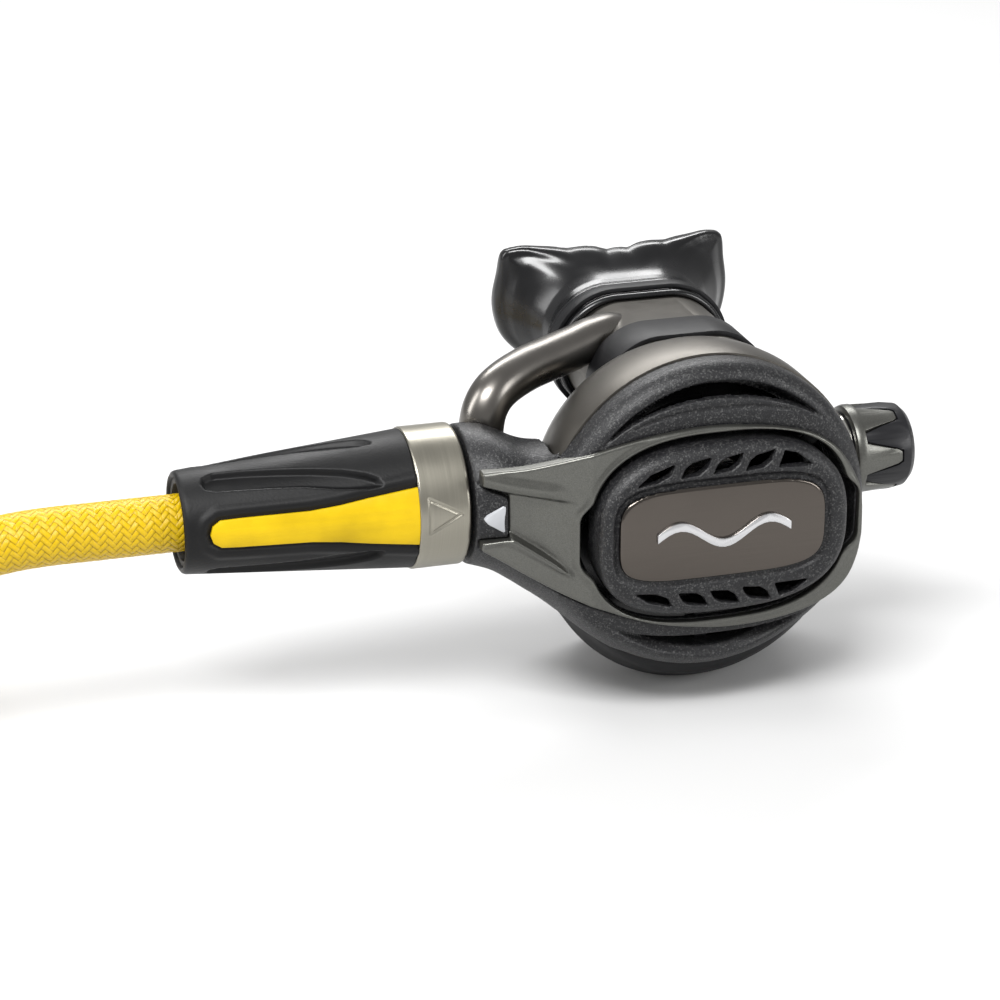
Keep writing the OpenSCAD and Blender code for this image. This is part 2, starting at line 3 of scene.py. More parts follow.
import bmesh
import bpy
import numpy as np
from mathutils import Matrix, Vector


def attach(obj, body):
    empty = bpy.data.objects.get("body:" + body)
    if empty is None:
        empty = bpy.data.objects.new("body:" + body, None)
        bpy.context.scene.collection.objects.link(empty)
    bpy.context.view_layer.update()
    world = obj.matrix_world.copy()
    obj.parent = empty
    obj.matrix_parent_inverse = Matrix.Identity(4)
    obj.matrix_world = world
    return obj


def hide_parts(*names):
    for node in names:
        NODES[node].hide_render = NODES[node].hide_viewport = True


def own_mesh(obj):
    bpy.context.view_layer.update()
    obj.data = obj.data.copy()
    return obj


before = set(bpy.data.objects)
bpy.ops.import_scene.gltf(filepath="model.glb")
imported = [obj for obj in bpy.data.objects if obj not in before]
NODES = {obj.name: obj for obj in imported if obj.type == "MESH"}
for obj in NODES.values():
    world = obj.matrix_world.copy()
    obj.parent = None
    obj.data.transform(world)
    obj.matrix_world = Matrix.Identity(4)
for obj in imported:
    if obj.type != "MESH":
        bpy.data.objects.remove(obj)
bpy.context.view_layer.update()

MM = 0.001
AXIS_H = 56.0  # height of the valve axis above the foot, mm
TAU = 2 * math.pi

# ---------------------------------------- camera
CAM_AZ, CAM_EL, CAM_DIST = math.radians(-16.5), math.radians(22.0), 0.75
CAM_TARGET = Vector((-0.0465, 0.0, 0.0526))
LENS_MM, SENSOR_MM = 110.16, 36.0


def make_camera():
    data = bpy.data.cameras.new("camera")
    data.lens = LENS_MM
    data.sensor_width = SENSOR_MM
    data.clip_start = 0.01
    cam = bpy.data.objects.new("camera", data)
    bpy.context.scene.collection.objects.link(cam)
    level = math.cos(CAM_EL)
    away = Vector((math.sin(CAM_AZ) * level, -math.cos(CAM_AZ) * level, math.sin(CAM_EL)))
    cam.location = CAM_TARGET + CAM_DIST * away
    cam.rotation_euler = (-away).to_track_quat("-Z", "Y").to_euler()
    bpy.context.scene.camera = cam


make_camera()


# ---------------------------------------- mesh helpers
def rel(points):
    """Points in mm about the valve axis to metres in the row frame."""
    p = np.asarray(points, float).reshape(-1, 3)
    return (p + [0, 0, AXIS_H]) * MM


def build(name, verts, faces, mat, replaces, body="base"):
    """A smooth mesh object from metre vertices that rides on a body."""
    mesh = bpy.data.meshes.new(name)
    mesh.from_pydata([tuple(v) for v in verts], [], [tuple(f) for f in faces])
    mesh.validate()
    bm = bmesh.new()
    bm.from_mesh(mesh)
    bmesh.ops.recalc_face_normals(bm, faces=bm.faces)
    bm.to_mesh(mesh)
    bm.free()
    for p in mesh.polygons:
        p.use_smooth = True
    obj = bpy.data.objects.new(name, mesh)
    bpy.context.scene.collection.objects.link(obj)
    mesh.materials.append(mat)
    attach(obj, body)
    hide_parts(*replaces)
    return obj


def loft(rings, wrap=False, cap=(False, False)):
    """Quads between closed rings of equal length; wrap joins the last ring to the first."""
    rings = [np.asarray(r, float) for r in rings]
    n, k = len(rings), len(rings[0])
    verts = np.vstack(rings)
    faces = []
    for i in range(n if wrap else n - 1):
        a, b = i * k, ((i + 1) % n) * k
        for j in range(k):
            q = (j + 1) % k
            faces.append((a + j, a + q, b + q, b + j))
    if cap[0]:
        faces.append(tuple(range(k - 1, -1, -1)))
    if cap[1]:
        faces.append(tuple((n - 1) * k + j for j in range(k)))
    return verts, faces


def spline(points, n, closed=False):
    """Catmull-Rom through the points, n samples."""
    p = np.asarray(points, float)
    m = len(p)
    out = []
    spans = m if closed else m - 1
    for s in np.linspace(0, spans, n, endpoint=not closed):
        i = min(int(s), spans - 1)
        t = s - i
        if closed:
            a, b, c, d = p[(i - 1) % m], p[i % m], p[(i + 1) % m], p[(i + 2) % m]
        else:
            a, b, c, d = p[max(i - 1, 0)], p[i], p[i + 1], p[min(i + 2, m - 1)]
        bend, twist = 2 * a - 5 * b + 4 * c - d, 3 * b - a - 3 * c + d
        out.append(0.5 * (2 * b + (c - a) * t + bend * t * t + twist * t ** 3))
    return np.array(out)


def tube_rings(path, radius, k):
    """Rings of k points round a path, without twist; radius is a number or one per point."""
    path = np.asarray(path, float)
    n = len(path)
    tang = np.gradient(path, axis=0)
    tang /= np.linalg.norm(tang, axis=1)[:, None]
    up = np.array([0.0, 0.0, 1.0]) if abs(tang[0][2]) < 0.9 else np.array([0.0, 1.0, 0.0])
    side = np.cross(tang[0], up)
    side /= np.linalg.norm(side)
    radius = np.broadcast_to(np.asarray(radius, float), (n,)) if np.ndim(radius) < 2 else radius
    ang = np.arange(k) * TAU / k
    rings = []
    for i in range(n):
        side = side - tang[i] * side.dot(tang[i])
        side /= np.linalg.norm(side)
        up = np.cross(tang[i], side)
        r = radius[i]
        out, over = (np.cos(ang) * r)[:, None], (np.sin(ang) * r)[:, None]
        rings.append(path[i] + out * side + over * up)
    return rings


# ---------------------------------------- moulded shapes: a field is negative inside
def round_and(a, b, r):
    """Overlap of two fields with a rounded edge of radius r."""
    u, v = np.maximum(a + r, 0.0), np.maximum(b + r, 0.0)
    return np.minimum(np.maximum(a, b), -r) + np.hypot(u, v)


def blend_or(a, b, k):
    """Union of two fields with a fillet about k wide."""
    h = np.maximum(k - np.abs(a - b), 0.0) / k
    return np.minimum(a, b) - h * h * k / 4


def cut(a, b, k=0.5):
    """Field a without field b, with the new edge softened over k."""
    return -blend_or(-a, b, k)


def step_up(t):
    t = np.clip(t, 0.0, 1.0)
    return t * t * (3 - 2 * t)


def outline(x, z, pts):
    """Distance to a closed outline given by its corners."""
    x, z = np.broadcast_arrays(x, z)
    best = np.full(x.shape, 1e9)
    inside = np.zeros(x.shape, bool)
    p = np.asarray(pts, float)
    for (x0, z0), (x1, z1) in zip(p, np.roll(p, -1, axis=0)):
        ex, ez = x1 - x0, z1 - z0
        t = np.clip(((x - x0) * ex + (z - z0) * ez) / (ex * ex + ez * ez + 1e-12), 0, 1)
        best = np.minimum(best, (x - x0 - t * ex) ** 2 + (z - z0 - t * ez) ** 2)
        if z0 != z1:
            inside ^= ((z0 > z) != (z1 > z)) & (x < ex * (z - z0) / ez + x0)
    d = np.sqrt(best)
    return np.where(inside, -d, d)


def oval(x, z, a, b, n):
    """Distance to a superellipse about the origin."""
    x, z = np.abs(x) + 1e-6, np.abs(z) + 1e-6
    f = ((x / a) ** n + (z / b) ** n) ** (1 / n)
    slope = f ** (1 - n) * np.hypot(x ** (n - 1) / a ** n, z ** (n - 1) / b ** n)
    return (f - 1) / slope


def slab(v, low, high):
    return np.maximum(low - v, v - high)


def box2(x, z, w, h, r=0.0):
    """Distance to a rounded rectangle w by h about the origin."""
    qx, qz = np.abs(x) - w / 2 + r, np.abs(z) - h / 2 + r
    return np.hypot(np.maximum(qx, 0), np.maximum(qz, 0)) + np.minimum(np.maximum(qx, qz), 0) - r


def stadium(x, z, w, h):
    return box2(x, z, w, h, np.minimum(w, h) / 2)


NEAR = 0.02  # step for the slope of a field, mm


def skin(field, low, high, pitch, pulls=3):
    """Quads over the zero surface of a field: a vertex in each crossed cell, pulled onto it."""
    ax = [np.arange(low[k] - pitch, high[k] + 2 * pitch, pitch) for k in range(3)]
    grid = (ax[0][:, None, None], ax[1][None, :, None], ax[2][None, None, :])
    v = np.broadcast_to(field(*grid), [len(a) for a in ax])
    inside = v < 0
    shape = np.array(v.shape) - 1
    total = np.zeros((*shape, 3))
    count = np.zeros(shape)
    crossings = []
    for k in range(3):
        lo, hi = [slice(None)] * 3, [slice(None)] * 3
        lo[k], hi[k] = slice(0, -1), slice(1, None)
        a, b = v[tuple(lo)], v[tuple(hi)]
        idx = np.argwhere(inside[tuple(lo)] != inside[tuple(hi)])
        va, vb = a[tuple(idx.T)], b[tuple(idx.T)]
        at = idx.astype(float)
        at[:, k] += va / (va - vb)
        crossings.append((k, idx, va < 0))
        for di in (0, -1):
            for dj in (0, -1):
                cell = idx.copy()
                cell[:, (k + 1) % 3] += di
                cell[:, (k + 2) % 3] += dj
                ok = np.all((cell >= 0) & (cell < shape), axis=1)
                np.add.at(total, tuple(cell[ok].T), at[ok])
                np.add.at(count, tuple(cell[ok].T), 1)
    used = count > 0
    number = np.full(shape, -1)
    number[used] = np.arange(used.sum())
    p = total[used] / count[used][:, None] * pitch + [a[0] for a in ax]
    faces = []
    for k, idx, outward in crossings:
        corner = []
        for di, dj in ((0, 0), (-1, 0), (-1, -1), (0, -1)):
            cell = idx.copy()
            cell[:, (k + 1) % 3] += di
            cell[:, (k + 2) % 3] += dj
            cell = np.clip(cell, 0, shape - 1)
            corner.append(number[tuple(cell.T)])
        quad = np.stack(corner, axis=1)
        quad[~outward] = quad[~outward][:, ::-1]
        faces.append(quad[(quad >= 0).all(axis=1)])
    near = NEAR * np.eye(3)
    for _ in range(pulls):
        f0 = field(p[:, 0], p[:, 1], p[:, 2])
        g = np.stack([(field(*(p + e).T) - field(*(p - e).T)) / (2 * NEAR) for e in near], axis=1)
        move = -(f0 / np.maximum((g ** 2).sum(1), 0.2))[:, None] * g
        size = np.linalg.norm(move, axis=1)[:, None]
        p = p + move * np.minimum(1, 0.5 * pitch / np.maximum(size, 1e-9))
    return p, np.vstack(faces)


def mould(name, node, field, low, high, pitch, mat, body="base"):
    """A smooth moulded piece from a field in mm about the valve axis."""
    verts, faces = skin(field, low, high, pitch)
    return build(name, rel(verts), faces, MAT[mat], (node,), body)


# ---------------------------------------- material helpers
class Nodes:
    """Short hand for building a node tree."""

    def __init__(self, name):
        self.mat = bpy.data.materials.new(name)
        self.mat.use_nodes = True
        self.tree = self.mat.node_tree
        self.shader = self.tree.nodes["Principled BSDF"]

    def new(self, kind, **props):
        n = self.tree.nodes.new(kind)
        for k, v in props.items():
            setattr(n, k, v)
        return n

    def link(self, a, b):
        self.tree.links.new(a, b)

    def coords(self, scale):
        place = self.new("ShaderNodeTexCoord")
        mapping = self.new("ShaderNodeMapping")
        mapping.inputs["Scale"].default_value = scale if isinstance(scale, tuple) else (scale,) * 3
        self.link(place.outputs["Object"], mapping.inputs["Vector"])
        return mapping.outputs["Vector"]

    def noise(self, scale, detail, rough=0.55):
        n = self.new("ShaderNodeTexNoise")
        n.inputs["Scale"].default_value = 1.0
        n.inputs["Detail"].default_value = detail
        n.inputs["Roughness"].default_value = rough
        self.link(self.coords(scale), n.inputs["Vector"])
        return n.outputs["Fac"]

    def cells(self, scale):
        n = self.new("ShaderNodeTexVoronoi", feature="F1")
        n.inputs["Scale"].default_value = 1.0
        self.link(self.coords(scale), n.inputs["Vector"])
        return n

    def ramp(self, fac, stops):
        n = self.new("ShaderNodeValToRGB")
        for e, (pos, col) in zip(n.color_ramp.elements, (stops[0], stops[-1])):
            e.position, e.color = pos, (*col, 1)
        for pos, col in stops[1:-1]:
            e = n.color_ramp.elements.new(pos)
            e.color = (*col, 1)
        self.link(fac, n.inputs["Fac"])
        return n.outputs["Color"]

    def span(self, fac, low, high, a=0.0, b=1.0):
        n = self.new("ShaderNodeMapRange")
        n.inputs["From Min"].default_value, n.inputs["From Max"].default_value = a, b
        n.inputs["To Min"].default_value, n.inputs["To Max"].default_value = low, high
        self.link(fac, n.inputs["Value"])
        return n.outputs["Result"]

    def math(self, op, a, b=None):
        n = self.new("ShaderNodeMath", operation=op)
        for k, v in enumerate((a, b)):
            if v is None:
                continue
            if isinstance(v, (int, float)):
                n.inputs[k].default_value = v
            else:
                self.link(v, n.inputs[k])
        return n.outputs["Value"]

    def bump(self, height, strength, distance, before=None):
        n = self.new("ShaderNodeBump")
        n.inputs["Strength"].default_value = strength
        n.inputs["Distance"].default_value = distance
        self.link(height, n.inputs["Height"])
        if before is not None:
            self.link(before, n.inputs["Normal"])
        return n.outputs["Normal"]

    def set(self, **values):
        for k, v in values.items():
            socket = self.shader.inputs[k.replace("_", " ")]
            if hasattr(v, "is_linked"):
                self.link(v, socket)
            else:
                socket.default_value = (*v, 1) if isinstance(v, tuple) else v
        return self.mat


def shade(col, k):
    return tuple(min(1.0, c * k) for c in col)


def sparkle_plastic(name, col, rough=0.5, glint=0.07):
    """Sintered plastic: fine grains, each a little lighter or darker, with painted highlights: the brightest
    grains take glint colours.
    """
    m = Nodes(name)
    cell = m.cells(3000)
    grain = m.math("ADD", cell.outputs["Color"], 0.0)  # the cell's colour as one number
    fine = m.noise(2600, 2)
    # painted highlights: the two glint colours stand for glints of light on the brightest grains
    dull_glint, bright_glint = (col[0] + glint * 0.4,) * 3, (col[0] + glint,) * 3
    stops = [(0.2, shade(col, 0.6)), (0.6, shade(col, 1.2)), (0.74, dull_glint), (0.85, bright_glint)]
    tone = m.ramp(grain, stops)
    height = m.math("ADD", m.math("MULTIPLY", cell.outputs["Distance"], -0.6), fine)
    bumped = m.bump(height, 0.55, 0.00012)
    soft = m.bump(m.noise(300, 2), 0.08, 0.0001, bumped)
    return m.set(Base_Color=tone, Roughness=m.span(fine, rough - 0.12, rough + 0.1, 0.3, 0.7),
                 Specular_IOR_Level=0.38, Normal=soft)


def flake_metal(name, col, rough=0.38, flake=0.15):
    """Painted metal with fine metallic flake."""
    m = Nodes(name)
    cell = m.cells(5200)
    each = m.math("MULTIPLY", cell.outputs["Color"], 1.0)  # the cell's colour as one number
    base = m.ramp(each, [(0.1, shade(col, 1 - flake)), (0.9, shade(col, 1 + flake))])
    grain = m.bump(cell.outputs["Distance"], 0.12, 0.00003)
    wear = m.noise(120, 3)
    return m.set(Base_Color=base, Metallic=0.85, Normal=grain,
                 Roughness=m.span(wear, rough - 0.05, rough + 0.07, 0.3, 0.7))


def brushed_metal(name, col, rough=0.3, lines=(60, 60, 4000), depth=0.06, vary=0.12):
    """Metal with fine lines; lines is the noise scale along X, Y, Z."""
    m = Nodes(name)
    grain = m.noise(lines, 3)
    base = m.ramp(grain, [(0.25, shade(col, 1 - vary)), (0.75, shade(col, 1 + vary))])
    cloud = m.noise(70, 2)
    patches = m.span(cloud, rough - 0.04, rough + 0.06, 0.3, 0.7)
    r = m.math("ADD", m.span(grain, -0.05, 0.05), patches)
    return m.set(Base_Color=base, Metallic=1.0, Roughness=r, Normal=m.bump(grain, depth, 0.00004))


def rubber(name, col, rough, grain, depth, coat=0.0, spec=0.5):
    """Moulded rubber or plastic with a fine grain and faint clouds."""
    m = Nodes(name)
    tone = m.noise(grain, 3)
    cloud = m.noise(60, 3)
    base = m.ramp(cloud, [(0.3, shade(col, 0.8)), (0.7, shade(col, 1.2))])
    n = m.bump(tone, depth, 0.00006)
    return m.set(Base_Color=base, Roughness=m.span(cloud, rough - 0.06, rough + 0.08, 0.3, 0.7),
                 Specular_IOR_Level=spec, Coat_Weight=coat, Coat_Roughness=0.15, Normal=n)


def braid_material(name, light, shadow):
    """Flat ribbons crossing two over two, from the hose's UV map: u cells along, v cells round."""
    m = Nodes(name)
    tc = m.new("ShaderNodeTexCoord")
    sep = m.new("ShaderNodeSeparateXYZ")
    m.link(tc.outputs["UV"], sep.inputs["Vector"])
    u, v = sep.outputs["X"], sep.outputs["Y"]
    p, q = m.math("ADD", u, v), m.math("SUBTRACT", u, v)
    i, j = m.math("FLOOR", p), m.math("FLOOR", q)
    band = m.math("FLOORED_MODULO", m.math("ADD", i, j), 4.0)
    over = m.math("LESS_THAN", band, 1.5)
    fp, fq = m.math("FRACT", p), m.math("FRACT", q)

    def pick(a, b):
        under = m.math("SUBTRACT", 1.0, over)
        return m.math("ADD", m.math("MULTIPLY", a, over), m.math("MULTIPLY", b, under))

    across = pick(fp, fq)  # 0..1 over the width of the ribbon on top
    away = m.math("ABSOLUTE", m.math("SUBTRACT", across, 0.5))
    edge = m.math("POWER", m.math("MULTIPLY", away, 2.0), 6.0)
    crown = m.math("SUBTRACT", 1.0, m.math("POWER", m.math("MULTIPLY", away, 2.0), 3.0))
    strands = m.math("SINE", m.math("MULTIPLY", across, 50.0))
    # the ends of each float dip under the next one
    place = m.math("SUBTRACT", m.math("MULTIPLY", m.math("FRACT", u), 2.0), 1.0)
    dip = m.math("POWER", m.math("ABSOLUTE", place), 4.0)
    height = m.math("ADD", crown, m.math("MULTIPLY", strands, 0.05))
    height = m.math("SUBTRACT", height, m.math("MULTIPLY", dip, 0.35))
    tone = m.noise(250, 2)
    lit = m.math("ADD", 0.86, m.math("MULTIPLY", strands, 0.06))
    # painted shade: the colour is darkened in the dark yellow along the edges of each ribbon and where its
    # ends dip under the next one
    shaded = m.math("ADD", m.math("MULTIPLY", edge, 0.8), m.math("MULTIPLY", dip, 0.12))
    col = m.ramp(m.math("SUBTRACT", lit, shaded), [(0.0, shadow), (0.55, shade(light, 0.8)), (1.0, light)])
    return m.set(Base_Color=col, Roughness=m.span(tone, 0.26, 0.40, 0.3, 0.7), Specular_IOR_Level=0.3,
                 Coat_Weight=0.1, Coat_Roughness=0.2, Normal=m.bump(height, 0.8, 0.00025))


# the second yellow is painted shade for the creases of the braid
YELLOW, YELLOW_SHADOW = (0.60, 0.39, 0.0), (0.17, 0.085, 0.0)
BRAID_ROUND = 21
MAT = {
    "cover_polymer": sparkle_plastic("cover_polymer", (0.0065, 0.0065, 0.0078), 0.46, 0.042),
    "trim_metal": flake_metal("trim_metal", (0.118, 0.118, 0.108), 0.33),
    "bowl_metal": brushed_metal("bowl_metal", (0.115, 0.108, 0.097), 0.40, (200, 2500, 200), 0.02, 0.05),
    "tube_metal": brushed_metal("tube_metal", (0.17, 0.16, 0.147), 0.30, (120, 120, 120), 0.0, 0.04),
    "ring_metal": brushed_metal("ring_metal", (0.30, 0.285, 0.24), 0.34, (4200, 40, 40), 0.04, 0.05),
    "plated_steel": brushed_metal("plated_steel", (0.62, 0.61, 0.58), 0.16, (900, 900, 900), 0.02, 0.05),
    "steel": brushed_metal("steel", (0.56, 0.55, 0.53), 0.24, (300, 300, 3000), 0.04, 0.08),
    "plate_metal": brushed_metal("plate_metal", (0.10, 0.088, 0.078), 0.17, (60, 60, 3800), 0.012, 0.06),
    "badge_metal": brushed_metal("badge_metal", (0.62, 0.62, 0.63), 0.25, (300, 300, 300), 0.01, 0.03),
    "pointer_plastic": rubber("pointer_plastic", (0.42, 0.43, 0.45), 0.25, 600, 0.05, 0.3),
    "tee_plastic": rubber("tee_plastic", (0.006, 0.006, 0.0068), 0.50, 2400, 0.25, 0.0, 0.25),
    "knob_plastic": rubber("knob_plastic", (0.007, 0.007, 0.0085), 0.36, 2400, 0.10, 0.05, 0.3),
    "silicone": rubber("silicone", (0.003, 0.003, 0.0036), 0.24, 200, 0.05, 0.1, 0.45),
    "grip_rubber": rubber("grip_rubber", (0.0045, 0.0045, 0.0048), 0.46, 1500, 0.75, 0.0, 0.22),
    "liner_rubber": rubber("liner_rubber", (0.02, 0.02, 0.022), 0.62, 1500, 0.3),
    "seal_rubber": rubber("seal_rubber", (0.016, 0.016, 0.017), 0.5, 1500, 0.2),
    "yellow_plastic": rubber("yellow_plastic", (0.52, 0.345, 0.0), 0.42, 2600, 0.10, 0.0, 0.25),
    "poppet_plastic": rubber("poppet_plastic", (0.72, 0.70, 0.64), 0.35, 900, 0.08),
    "hose_braid": braid_material("hose_braid", YELLOW, YELLOW_SHADOW),
}

# ---------------------------------------- the hose, on the route that part.scad gives it
HOSE_R = 7.0
COIL_X, COIL_R = -262.0, 66.0
HOSE_X0, TAIL_LEN = -103.0, 42.0
SPIRAL_END, LAND, DROP_R = 455.0, 18.0, 90.0
DROP_H = AXIS_H - HOSE_R
DROP_LEN = math.sqrt(DROP_R * DROP_H - DROP_H * DROP_H / 4)
DROP_X = COIL_X + 2 * DROP_LEN - LAND
STEP = 2 * HOSE_R / 360


def drop_z(d):
    if d <= 0:
        return 0.0
    if d < DROP_LEN:
        return DROP_R - math.sqrt(DROP_R ** 2 - d * d)
    if d < 2 * DROP_LEN:
        return DROP_H - (DROP_R - math.sqrt(DROP_R ** 2 - (2 * DROP_LEN - d) ** 2))
    return DROP_H


def spiral(t):
    r = COIL_R + t * STEP
    a = math.radians(t)
    height = AXIS_H - drop_z(DROP_X - COIL_X + COIL_R * a)
    return (COIL_X - r * math.sin(a), COIL_R - r * math.cos(a), height)


def hose_route():
    pts = [(x, 0.0, AXIS_H - drop_z(DROP_X - x)) for x in np.arange(HOSE_X0, -257.0, -9.0)]
    pts += [spiral(t) for t in np.arange(0.0, SPIRAL_END, 10.0)]
    end = np.array(spiral(SPIRAL_END))
    a = math.radians(180 - (SPIRAL_END - 360))
    way = np.array([math.cos(a), math.sin(a), 0.0])
    pts += [tuple(end + way * s) for s in (0.0, 10.0, 20.0, 31.0, TAIL_LEN)]
    return np.array(pts)


def arc_lengths(p):
    return np.concatenate([[0], np.cumsum(np.linalg.norm(np.diff(p, axis=0), axis=1))])


def resample(p, step):
    s = arc_lengths(p)
    n = int(s[-1] / step) + 1
    t = np.linspace(0, s[-1], n)
    return np.column_stack([np.interp(t, s, p[:, k]) for k in range(3)])


def make_hose():
    pts = hose_route()
    fine = resample(spline(pts, len(pts) * 12), 0.5)
    k = 84
    cell_u, cell_v = 1.87, k / BRAID_ROUND
    s = arc_lengths(fine)
    u = (s / cell_u)[:, None]
    v = (np.arange(k) / cell_v)[None, :]
    p, q = u + v, u - v
    over = np.mod(np.floor(p) + np.floor(q), 4) < 1.5
    across = np.abs(np.where(over, p - np.floor(p), q - np.floor(q)) - 0.5) * 2
    radius = HOSE_R - 0.05 - 0.22 * across ** 3
    verts, faces = loft(tube_rings(fine, radius, k), cap=(True, True))
    obj = build("hose_braid", verts * MM, faces, MAT["hose_braid"], ("hose", "hose_coil"))
    uv = obj.data.uv_layers.new(name="braid")
    us, data = s / cell_u, uv.data
    for poly in obj.data.polygons:
        if len(poly.vertices) != 4:
            continue
        for li in poly.loop_indices:
            vi = obj.data.loops[li].vertex_index
            ring, c = divmod(vi, k)
            cc = c
            if c == 0 and any(x % k > k // 2 for x in poly.vertices):
                cc = k
            data[li].uv = (us[ring], cc / cell_v)


make_hose()


# ---------------------------------------- moulded pieces of the body, mm about the valve axis
DROP = 4.5  # the round body sits this far below the valve axis
SEAM = -17.8
RIM_R, RIM_T = 40.0, 3.9
FACE_Y = -26.3  # front face of the cover
BOWL = [(0, 17.8), (20, 17.8), (27, 15.2), (32.6, 10.8), (37, 4.3), (39.6, -2.2), (40.5, -8.2),
        (40.5, SEAM), (0, SEAM)]
TUBE_X, TUBE_Z, TUBE_W, TUBE_H = 4.0, 16.5, 42.0, 29.0
BYPASS = [(-49.4, 7, 9.5), (-49.2, 7, 13.8), (-48.2, 7.3, 18), (-45.7, 8.7, 21.2), (-41.6, 11.2, 23.2),
          (-35.4, 15, 24.5), (-28.6, 19, 25), (-21.6, 23, 25.5), (-14.4, 27, 26.2), (-7.7, 30.6, 26.6)]
BYPASS_R = 5.6
TRIM_T = 1.8
TRIM_EDGE = [(-56.6, 12), (-50, 12.6), (-45, 13.4), (-38.5, 15), (-29.5, 17.3), (-17, 19.7), (-4.5, 20.9),
             (5.7, 20.4), (16, 18.9), (24, 16.6), (30.4, 12.4), (34.8, 6.5), (37.4, -0.3), (38, -8),
             (37.6, -15), (35.2, -21.9), (30.6, -26.7), (23, -30.1), (12.5, -31.9), (-0.5, -31.9),
             (-13.6, -29.4), (-24, -25.8), (-36, -20.4), (-45.5, -15), (-52.5, -10.6), (-56.6, -8.2)]
TRIM = np.vstack([spline(TRIM_EDGE, 101), [(-56.8, -5.8), (-50.2, -4.8), (-50.2, 5.4), (-56.6, 8.2)]])
BUTTON_X, BUTTON_Z, BOSS_R = 0.5, -4.6, 5
PLATE_X, PLATE_Z = -0.4, -3.9


def from_centre(x, z):
    return np.hypot(x, z + DROP)


def bowl(x, y, z, grow):
    return outline(*np.broadcast_arrays(from_centre(x, z), y), BOWL) - grow


def opening(x, z):
    return blend_or(oval(x - 0.9, z + 5, 33, 24.2, 2.7), box2(x - 1.1, z + 5.5, 70.6, 17.5, 4), 2.0)


def trim_back(x):
    """Depth of the seat of the trim frame; its left arms slope back."""
    return -26.0 + (8.4 / 26.4) * np.maximum(-31.6 - x, 0)


def bypass_gap(x, y, z):
    d = 1e9
    for a, b in zip(BYPASS, BYPASS[1:]):
        a, e = np.array(a), np.subtract(b, a)
        t = np.clip(((x - a[0]) * e[0] + (y - a[1]) * e[1] + (z - a[2]) * e[2]) / e.dot(e), 0, 1)
        dx, dy, dz = x - a[0] - t * e[0], y - a[1] - t * e[1], z - a[2] - t * e[2]
        d = np.minimum(d, dx ** 2 + dy ** 2 + dz ** 2)
    return np.sqrt(d)


def trim_seat(x):
    """The arms are let in deeper than the band round the opening."""
    return trim_back(x) + 1.8 * step_up((-33 - x) / 6)


WING_X = (-57.6, -52, -48, -44, -40, -35, -30, -24)
WING_TOP = (17.2, 17.0, 15.6, 13.8, 13.0, 13.4, 15.5, 19)
WING_BOTTOM = (-17.2, -18.4, -20.4, -23, -25.6, -29, -32.4, -36)
WING_BACK = (17.2, 16.4, 14.6, 12, 10, 8, 6, 4)


def wing(x, y, z):
    top, bottom, back = (spline_at(x, WING_X, v) for v in (WING_TOP, WING_BOTTOM, WING_BACK))
    front = np.minimum(trim_back(x) - 0.7, -17.2)
    round_part = np.clip((-48 - x) / 9, 0, 1)
    n = 2.5 - 0.5 * round_part
    deep, tall = (back - front) / 2, (top - bottom) / 2
    shape = oval(y - (front + back) / 2, z - (top + bottom) / 2, deep, tall, n)
    return round_and(np.maximum(shape, x + 20), -57.6 - x, 0.8)


def spline_at(x, xs, values):
    """Smooth curve through the values, read at any x."""
    curve = spline(np.column_stack([xs, values]), 80)
    return np.interp(x, curve[:, 0], curve[:, 1])


def valve_room(x, y, z):
    r = np.hypot(y, z)
    return np.minimum(np.maximum(r - 11.2, -45.2 - x), r - 8.05)


# depth of the crescents over their width, from the band to the rim: a crease, a lip and the deep part
CRESCENT = ((-0.05, 0.03, 0.1, 0.22, 0.34, 0.43, 0.53, 0.68, 1), (0, 0.8, 0.9, 0.3, 0.25, 1.0, 4.0, 6.2, 6.8))
LOWER_CRESCENT = ((-0.05, 0.05, 0.2, 0.4, 0.95, 1.2), (0, 2.6, 4.6, 4.4, 1.2, 1.0))


def cover_field(x, y, z):
    r = from_centre(x, z)
    body = np.maximum(round_and(r - RIM_R, FACE_Y - y, 5.5 + 3.0 * step_up((-24 - z) / 14)), y - SEAM)
    f = blend_or(body, wing(x, y, z), 7.0)
    f = round_and(f, FACE_Y - y, 1.2)
    band = oval(x - 0.9, z + DROP + 0.6, 39.4, 29, 2.5)
    room = np.maximum(band, 0) + np.maximum(RIM_R - RIM_T - r, 0.01)
    share = band / room
    depth = np.where(z < -15, np.interp(share, *LOWER_CRESCENT), np.interp(share, *CRESCENT))
    depth = depth * np.minimum(1, room / 4.5)
    crescent = np.maximum(np.maximum(r - RIM_R + RIM_T, -band - 0.3), y - FACE_Y - depth)
    f = cut(f, crescent, 0.9)
    f = cut(f, opening(x, z), 0.7)
    f = cut(f, np.maximum(outline(x, z, TRIM) - 0.25, y - trim_seat(x)), 0.3)
    f = cut(f, bypass_gap(x, y, z) - BYPASS_R - 0.3, 0.5)
    hollow = np.minimum(np.maximum(r - 33.6, -24 - y), np.maximum(r - 41, SEAM + 0.2 - y))
    return np.maximum(np.maximum(f, -hollow), np.maximum(-valve_room(x, y, z), y - 2.0))


def arm_field(x, y, z):
    f = np.maximum(wing(x, y, z) + 0.25, 2.1 - y)
    f = np.maximum(f, -bowl(x, y, z, 0.25))
    f = cut(f, bypass_gap(x, y, z) - BYPASS_R - 0.1, 0.4)
    return np.maximum(f, -valve_room(x, y, z))


VALLEY_TOP = ((-57, -50, -44, -36, -33), (9.0, 7.2, 6.2, 5.2, 4.4))
VALLEY_FOOT = ((-57, -51.4, -49, -42, -34.7), (-5.4, -4.2, -5.2, -9.8, -14.9))


